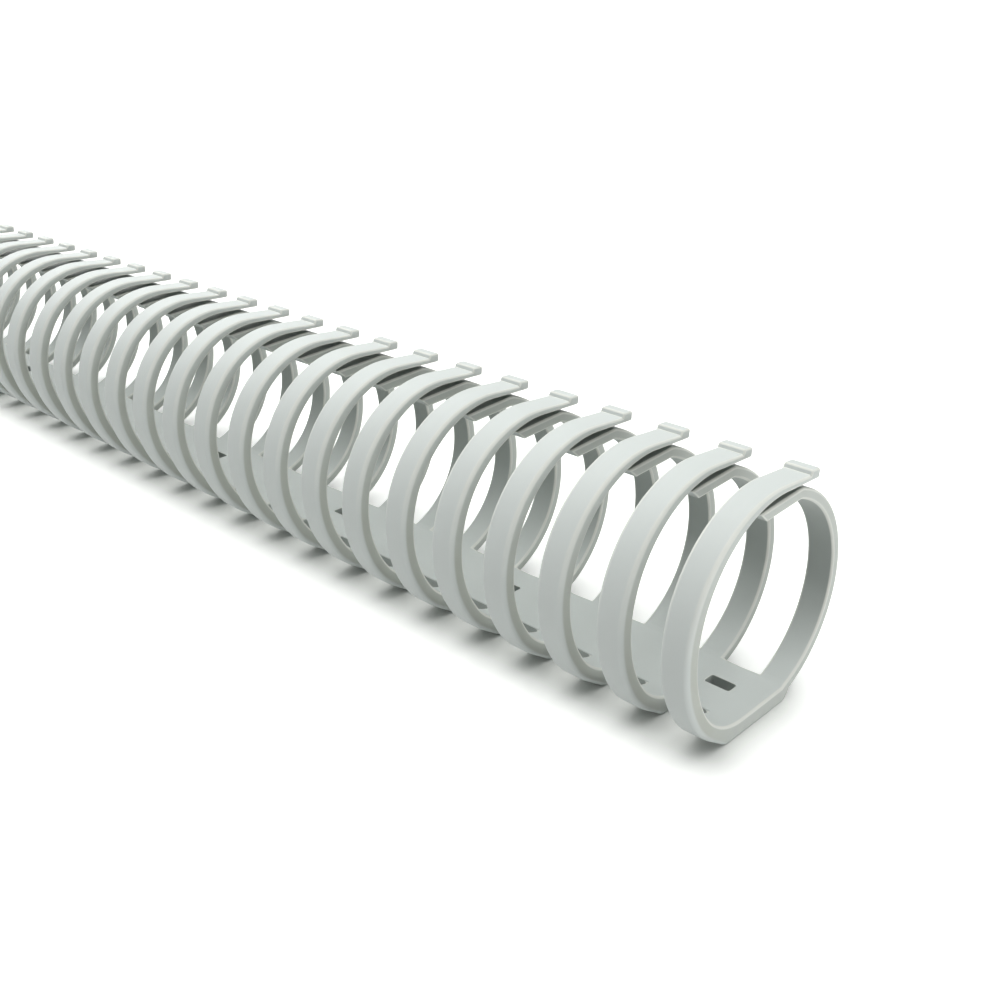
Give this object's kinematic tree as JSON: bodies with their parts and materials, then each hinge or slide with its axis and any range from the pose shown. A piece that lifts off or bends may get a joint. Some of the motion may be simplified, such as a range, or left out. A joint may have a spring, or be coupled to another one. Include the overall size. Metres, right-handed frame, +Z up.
{
  "type": "flexible wiring duct",
  "caption": "Flexible round wiring duct: a flat slotted base strip with pairs of curved fingers that close into rings and spring open to take cables anywhere along it.",
  "frame": {"origin": "on the underside, half-way along the duct, at the middle of the base strip", "axes": "+X along the duct, +Y from the outer fingers' side to the inner fingers' side, +Z up from the underside"},
  "size_m": [0.2744, 0.035, 0.0336],
  "materials": {
    "duct_plastic": "satin moulded plastic"
  },
  "bodies": {
    "base": {"base_strip": "duct_plastic"},
    "outer_finger_01": {"outer_finger_01": "duct_plastic"},
    "outer_finger_02": {"outer_finger_02": "duct_plastic"},
    "outer_finger_03": {"outer_finger_03": "duct_plastic"},
    "outer_finger_04": {"outer_finger_04": "duct_plastic"},
    "outer_finger_05": {"outer_finger_05": "duct_plastic"},
    "outer_finger_06": {"outer_finger_06": "duct_plastic"},
    "outer_finger_07": {"outer_finger_07": "duct_plastic"},
    "outer_finger_08": {"outer_finger_08": "duct_plastic"},
    "outer_finger_09": {"outer_finger_09": "duct_plastic"},
    "outer_finger_10": {"outer_finger_10": "duct_plastic"},
    "outer_finger_11": {"outer_finger_11": "duct_plastic"},
    "outer_finger_12": {"outer_finger_12": "duct_plastic"},
    "outer_finger_13": {"outer_finger_13": "duct_plastic"},
    "outer_finger_14": {"outer_finger_14": "duct_plastic"},
    "outer_finger_15": {"outer_finger_15": "duct_plastic"},
    "outer_finger_16": {"outer_finger_16": "duct_plastic"},
    "outer_finger_17": {"outer_finger_17": "duct_plastic"},
    "outer_finger_18": {"outer_finger_18": "duct_plastic"},
    "outer_finger_19": {"outer_finger_19": "duct_plastic"},
    "outer_finger_20": {"outer_finger_20": "duct_plastic"},
    "outer_finger_21": {"outer_finger_21": "duct_plastic"},
    "outer_finger_22": {"outer_finger_22": "duct_plastic"},
    "outer_finger_23": {"outer_finger_23": "duct_plastic"},
    "outer_finger_24": {"outer_finger_24": "duct_plastic"},
    "outer_finger_25": {"outer_finger_25": "duct_plastic"},
    "outer_finger_26": {"outer_finger_26": "duct_plastic"},
    "outer_finger_27": {"outer_finger_27": "duct_plastic"},
    "outer_finger_28": {"outer_finger_28": "duct_plastic"},
    "inner_finger_01": {"inner_finger_01": "duct_plastic"},
    "inner_finger_02": {"inner_finger_02": "duct_plastic"},
    "inner_finger_03": {"inner_finger_03": "duct_plastic"},
    "inner_finger_04": {"inner_finger_04": "duct_plastic"},
    "inner_finger_05": {"inner_finger_05": "duct_plastic"},
    "inner_finger_06": {"inner_finger_06": "duct_plastic"},
    "inner_finger_07": {"inner_finger_07": "duct_plastic"},
    "inner_finger_08": {"inner_finger_08": "duct_plastic"},
    "inner_finger_09": {"inner_finger_09": "duct_plastic"},
    "inner_finger_10": {"inner_finger_10": "duct_plastic"},
    "inner_finger_11": {"inner_finger_11": "duct_plastic"},
    "inner_finger_12": {"inner_finger_12": "duct_plastic"},
    "inner_finger_13": {"inner_finger_13": "duct_plastic"},
    "inner_finger_14": {"inner_finger_14": "duct_plastic"},
    "inner_finger_15": {"inner_finger_15": "duct_plastic"},
    "inner_finger_16": {"inner_finger_16": "duct_plastic"},
    "inner_finger_17": {"inner_finger_17": "duct_plastic"},
    "inner_finger_18": {"inner_finger_18": "duct_plastic"},
    "inner_finger_19": {"inner_finger_19": "duct_plastic"},
    "inner_finger_20": {"inner_finger_20": "duct_plastic"},
    "inner_finger_21": {"inner_finger_21": "duct_plastic"},
    "inner_finger_22": {"inner_finger_22": "duct_plastic"},
    "inner_finger_23": {"inner_finger_23": "duct_plastic"},
    "inner_finger_24": {"inner_finger_24": "duct_plastic"},
    "inner_finger_25": {"inner_finger_25": "duct_plastic"},
    "inner_finger_26": {"inner_finger_26": "duct_plastic"},
    "inner_finger_27": {"inner_finger_27": "duct_plastic"},
    "inner_finger_28": {"inner_finger_28": "duct_plastic"}
  },
  "joints": [
    {"name": "outer_root_01", "type": "hinge", "parent": "base", "child": "outer_finger_01", "pos_m": [0.135, -0.00793, 0.00183], "axis": [1, 0, 0], "range_deg": [0, 38], "stiffness_Nm_per_rad": 0.3},
    {"name": "inner_root_01", "type": "hinge", "parent": "base", "child": "inner_finger_01", "pos_m": [0.135, 0.00769, 0.00219], "axis": [1, 0, 0], "range_deg": [0, 8], "stiffness_Nm_per_rad": 0.2},
    {"name": "outer_root_02", "type": "hinge", "parent": "base", "child": "outer_finger_02", "pos_m": [0.125, -0.00793, 0.00183], "axis": [1, 0, 0], "range_deg": [0, 38], "stiffness_Nm_per_rad": 0.3},
    {"name": "inner_root_02", "type": "hinge", "parent": "base", "child": "inner_finger_02", "pos_m": [0.125, 0.00769, 0.00219], "axis": [1, 0, 0], "range_deg": [0, 8], "stiffness_Nm_per_rad": 0.2},
    {"name": "outer_root_03", "type": "hinge", "parent": "base", "child": "outer_finger_03", "pos_m": [0.115, -0.00793, 0.00183], "axis": [1, 0, 0], "range_deg": [0, 38], "stiffness_Nm_per_rad": 0.3},
    {"name": "inner_root_03", "type": "hinge", "parent": "base", "child": "inner_finger_03", "pos_m": [0.115, 0.00769, 0.00219], "axis": [1, 0, 0], "range_deg": [0, 8], "stiffness_Nm_per_rad": 0.2},
    {"name": "outer_root_04", "type": "hinge", "parent": "base", "child": "outer_finger_04", "pos_m": [0.105, -0.00793, 0.00183], "axis": [1, 0, 0], "range_deg": [0, 38], "stiffness_Nm_per_rad": 0.3},
    {"name": "inner_root_04", "type": "hinge", "parent": "base", "child": "inner_finger_04", "pos_m": [0.105, 0.00769, 0.00219], "axis": [1, 0, 0], "range_deg": [0, 8], "stiffness_Nm_per_rad": 0.2},
    {"name": "outer_root_05", "type": "hinge", "parent": "base", "child": "outer_finger_05", "pos_m": [0.095, -0.00793, 0.00183], "axis": [1, 0, 0], "range_deg": [0, 38], "stiffness_Nm_per_rad": 0.3},
    {"name": "inner_root_05", "type": "hinge", "parent": "base", "child": "inner_finger_05", "pos_m": [0.095, 0.00769, 0.00219], "axis": [1, 0, 0], "range_deg": [0, 8], "stiffness_Nm_per_rad": 0.2},
    {"name": "outer_root_06", "type": "hinge", "parent": "base", "child": "outer_finger_06", "pos_m": [0.085, -0.00793, 0.00183], "axis": [1, 0, 0], "range_deg": [0, 38], "stiffness_Nm_per_rad": 0.3},
    {"name": "inner_root_06", "type": "hinge", "parent": "base", "child": "inner_finger_06", "pos_m": [0.085, 0.00769, 0.00219], "axis": [1, 0, 0], "range_deg": [0, 8], "stiffness_Nm_per_rad": 0.2},
    {"name": "outer_root_07", "type": "hinge", "parent": "base", "child": "outer_finger_07", "pos_m": [0.075, -0.00793, 0.00183], "axis": [1, 0, 0], "range_deg": [0, 38], "stiffness_Nm_per_rad": 0.3},
    {"name": "inner_root_07", "type": "hinge", "parent": "base", "child": "inner_finger_07", "pos_m": [0.075, 0.00769, 0.00219], "axis": [1, 0, 0], "range_deg": [0, 8], "stiffness_Nm_per_rad": 0.2},
    {"name": "outer_root_08", "type": "hinge", "parent": "base", "child": "outer_finger_08", "pos_m": [0.065, -0.00793, 0.00183], "axis": [1, 0, 0], "range_deg": [0, 38], "stiffness_Nm_per_rad": 0.3},
    {"name": "inner_root_08", "type": "hinge", "parent": "base", "child": "inner_finger_08", "pos_m": [0.065, 0.00769, 0.00219], "axis": [1, 0, 0], "range_deg": [0, 8], "stiffness_Nm_per_rad": 0.2},
    {"name": "outer_root_09", "type": "hinge", "parent": "base", "child": "outer_finger_09", "pos_m": [0.055, -0.00793, 0.00183], "axis": [1, 0, 0], "range_deg": [0, 38], "stiffness_Nm_per_rad": 0.3},
    {"name": "inner_root_09", "type": "hinge", "parent": "base", "child": "inner_finger_09", "pos_m": [0.055, 0.00769, 0.00219], "axis": [1, 0, 0], "range_deg": [0, 8], "stiffness_Nm_per_rad": 0.2},
    {"name": "outer_root_10", "type": "hinge", "parent": "base", "child": "outer_finger_10", "pos_m": [0.045, -0.00793, 0.00183], "axis": [1, 0, 0], "range_deg": [0, 38], "stiffness_Nm_per_rad": 0.3},
    {"name": "inner_root_10", "type": "hinge", "parent": "base", "child": "inner_finger_10", "pos_m": [0.045, 0.00769, 0.00219], "axis": [1, 0, 0], "range_deg": [0, 8], "stiffness_Nm_per_rad": 0.2},
    {"name": "outer_root_11", "type": "hinge", "parent": "base", "child": "outer_finger_11", "pos_m": [0.035, -0.00793, 0.00183], "axis": [1, 0, 0], "range_deg": [0, 38], "stiffness_Nm_per_rad": 0.3},
    {"name": "inner_root_11", "type": "hinge", "parent": "base", "child": "inner_finger_11", "pos_m": [0.035, 0.00769, 0.00219], "axis": [1, 0, 0], "range_deg": [0, 8], "stiffness_Nm_per_rad": 0.2},
    {"name": "outer_root_12", "type": "hinge", "parent": "base", "child": "outer_finger_12", "pos_m": [0.025, -0.00793, 0.00183], "axis": [1, 0, 0], "range_deg": [0, 38], "stiffness_Nm_per_rad": 0.3},
    {"name": "inner_root_12", "type": "hinge", "parent": "base", "child": "inner_finger_12", "pos_m": [0.025, 0.00769, 0.00219], "axis": [1, 0, 0], "range_deg": [0, 8], "stiffness_Nm_per_rad": 0.2},
    {"name": "outer_root_13", "type": "hinge", "parent": "base", "child": "outer_finger_13", "pos_m": [0.015, -0.00793, 0.00183], "axis": [1, 0, 0], "range_deg": [0, 38], "stiffness_Nm_per_rad": 0.3},
    {"name": "inner_root_13", "type": "hinge", "parent": "base", "child": "inner_finger_13", "pos_m": [0.015, 0.00769, 0.00219], "axis": [1, 0, 0], "range_deg": [0, 8], "stiffness_Nm_per_rad": 0.2},
    {"name": "outer_root_14", "type": "hinge", "parent": "base", "child": "outer_finger_14", "pos_m": [0.005, -0.00793, 0.00183], "axis": [1, 0, 0], "range_deg": [0, 38], "stiffness_Nm_per_rad": 0.3},
    {"name": "inner_root_14", "type": "hinge", "parent": "base", "child": "inner_finger_14", "pos_m": [0.005, 0.00769, 0.00219], "axis": [1, 0, 0], "range_deg": [0, 8], "stiffness_Nm_per_rad": 0.2},
    {"name": "outer_root_15", "type": "hinge", "parent": "base", "child": "outer_finger_15", "pos_m": [-0.005, -0.00793, 0.00183], "axis": [1, 0, 0], "range_deg": [0, 38], "stiffness_Nm_per_rad": 0.3},
    {"name": "inner_root_15", "type": "hinge", "parent": "base", "child": "inner_finger_15", "pos_m": [-0.005, 0.00769, 0.00219], "axis": [1, 0, 0], "range_deg": [0, 8], "stiffness_Nm_per_rad": 0.2},
    {"name": "outer_root_16", "type": "hinge", "parent": "base", "child": "outer_finger_16", "pos_m": [-0.015, -0.00793, 0.00183], "axis": [1, 0, 0], "range_deg": [0, 38], "stiffness_Nm_per_rad": 0.3},
    {"name": "inner_root_16", "type": "hinge", "parent": "base", "child": "inner_finger_16", "pos_m": [-0.015, 0.00769, 0.00219], "axis": [1, 0, 0], "range_deg": [0, 8], "stiffness_Nm_per_rad": 0.2},
    {"name": "outer_root_17", "type": "hinge", "parent": "base", "child": "outer_finger_17", "pos_m": [-0.025, -0.00793, 0.00183], "axis": [1, 0, 0], "range_deg": [0, 38], "stiffness_Nm_per_rad": 0.3},
    {"name": "inner_root_17", "type": "hinge", "parent": "base", "child": "inner_finger_17", "pos_m": [-0.025, 0.00769, 0.00219], "axis": [1, 0, 0], "range_deg": [0, 8], "stiffness_Nm_per_rad": 0.2},
    {"name": "outer_root_18", "type": "hinge", "parent": "base", "child": "outer_finger_18", "pos_m": [-0.035, -0.00793, 0.00183], "axis": [1, 0, 0], "range_deg": [0, 38], "stiffness_Nm_per_rad": 0.3},
    {"name": "inner_root_18", "type": "hinge", "parent": "base", "child": "inner_finger_18", "pos_m": [-0.035, 0.00769, 0.00219], "axis": [1, 0, 0], "range_deg": [0, 8], "stiffness_Nm_per_rad": 0.2},
    {"name": "outer_root_19", "type": "hinge", "parent": "base", "child": "outer_finger_19", "pos_m": [-0.045, -0.00793, 0.00183], "axis": [1, 0, 0], "range_deg": [0, 38], "stiffness_Nm_per_rad": 0.3},
    {"name": "inner_root_19", "type": "hinge", "parent": "base", "child": "inner_finger_19", "pos_m": [-0.045, 0.00769, 0.00219], "axis": [1, 0, 0], "range_deg": [0, 8], "stiffness_Nm_per_rad": 0.2},
    {"name": "outer_root_20", "type": "hinge", "parent": "base", "child": "outer_finger_20", "pos_m": [-0.055, -0.00793, 0.00183], "axis": [1, 0, 0], "range_deg": [0, 38], "stiffness_Nm_per_rad": 0.3},
    {"name": "inner_root_20", "type": "hinge", "parent": "base", "child": "inner_finger_20", "pos_m": [-0.055, 0.00769, 0.00219], "axis": [1, 0, 0], "range_deg": [0, 8], "stiffness_Nm_per_rad": 0.2},
    {"name": "outer_root_21", "type": "hinge", "parent": "base", "child": "outer_finger_21", "pos_m": [-0.065, -0.00793, 0.00183], "axis": [1, 0, 0], "range_deg": [0, 38], "stiffness_Nm_per_rad": 0.3},
    {"name": "inner_root_21", "type": "hinge", "parent": "base", "child": "inner_finger_21", "pos_m": [-0.065, 0.00769, 0.00219], "axis": [1, 0, 0], "range_deg": [0, 8], "stiffness_Nm_per_rad": 0.2},
    {"name": "outer_root_22", "type": "hinge", "parent": "base", "child": "outer_finger_22", "pos_m": [-0.075, -0.00793, 0.00183], "axis": [1, 0, 0], "range_deg": [0, 38], "stiffness_Nm_per_rad": 0.3},
    {"name": "inner_root_22", "type": "hinge", "parent": "base", "child": "inner_finger_22", "pos_m": [-0.075, 0.00769, 0.00219], "axis": [1, 0, 0], "range_deg": [0, 8], "stiffness_Nm_per_rad": 0.2},
    {"name": "outer_root_23", "type": "hinge", "parent": "base", "child": "outer_finger_23", "pos_m": [-0.085, -0.00793, 0.00183], "axis": [1, 0, 0], "range_deg": [0, 38], "stiffness_Nm_per_rad": 0.3},
    {"name": "inner_root_23", "type": "hinge", "parent": "base", "child": "inner_finger_23", "pos_m": [-0.085, 0.00769, 0.00219], "axis": [1, 0, 0], "range_deg": [0, 8], "stiffness_Nm_per_rad": 0.2},
    {"name": "outer_root_24", "type": "hinge", "parent": "base", "child": "outer_finger_24", "pos_m": [-0.095, -0.00793, 0.00183], "axis": [1, 0, 0], "range_deg": [0, 38], "stiffness_Nm_per_rad": 0.3},
    {"name": "inner_root_24", "type": "hinge", "parent": "base", "child": "inner_finger_24", "pos_m": [-0.095, 0.00769, 0.00219], "axis": [1, 0, 0], "range_deg": [0, 8], "stiffness_Nm_per_rad": 0.2},
    {"name": "outer_root_25", "type": "hinge", "parent": "base", "child": "outer_finger_25", "pos_m": [-0.105, -0.00793, 0.00183], "axis": [1, 0, 0], "range_deg": [0, 38], "stiffness_Nm_per_rad": 0.3},
    {"name": "inner_root_25", "type": "hinge", "parent": "base", "child": "inner_finger_25", "pos_m": [-0.105, 0.00769, 0.00219], "axis": [1, 0, 0], "range_deg": [0, 8], "stiffness_Nm_per_rad": 0.2},
    {"name": "outer_root_26", "type": "hinge", "parent": "base", "child": "outer_finger_26", "pos_m": [-0.115, -0.00793, 0.00183], "axis": [1, 0, 0], "range_deg": [0, 38], "stiffness_Nm_per_rad": 0.3},
    {"name": "inner_root_26", "type": "hinge", "parent": "base", "child": "inner_finger_26", "pos_m": [-0.115, 0.00769, 0.00219], "axis": [1, 0, 0], "range_deg": [0, 8], "stiffness_Nm_per_rad": 0.2},
    {"name": "outer_root_27", "type": "hinge", "parent": "base", "child": "outer_finger_27", "pos_m": [-0.125, -0.00793, 0.00183], "axis": [1, 0, 0], "range_deg": [0, 38], "stiffness_Nm_per_rad": 0.3},
    {"name": "inner_root_27", "type": "hinge", "parent": "base", "child": "inner_finger_27", "pos_m": [-0.125, 0.00769, 0.00219], "axis": [1, 0, 0], "range_deg": [0, 8], "stiffness_Nm_per_rad": 0.2},
    {"name": "outer_root_28", "type": "hinge", "parent": "base", "child": "outer_finger_28", "pos_m": [-0.135, -0.00793, 0.00183], "axis": [1, 0, 0], "range_deg": [0, 38], "stiffness_Nm_per_rad": 0.3},
    {"name": "inner_root_28", "type": "hinge", "parent": "base", "child": "inner_finger_28", "pos_m": [-0.135, 0.00769, 0.00219], "axis": [1, 0, 0], "range_deg": [0, 8], "stiffness_Nm_per_rad": 0.2}
  ]
}
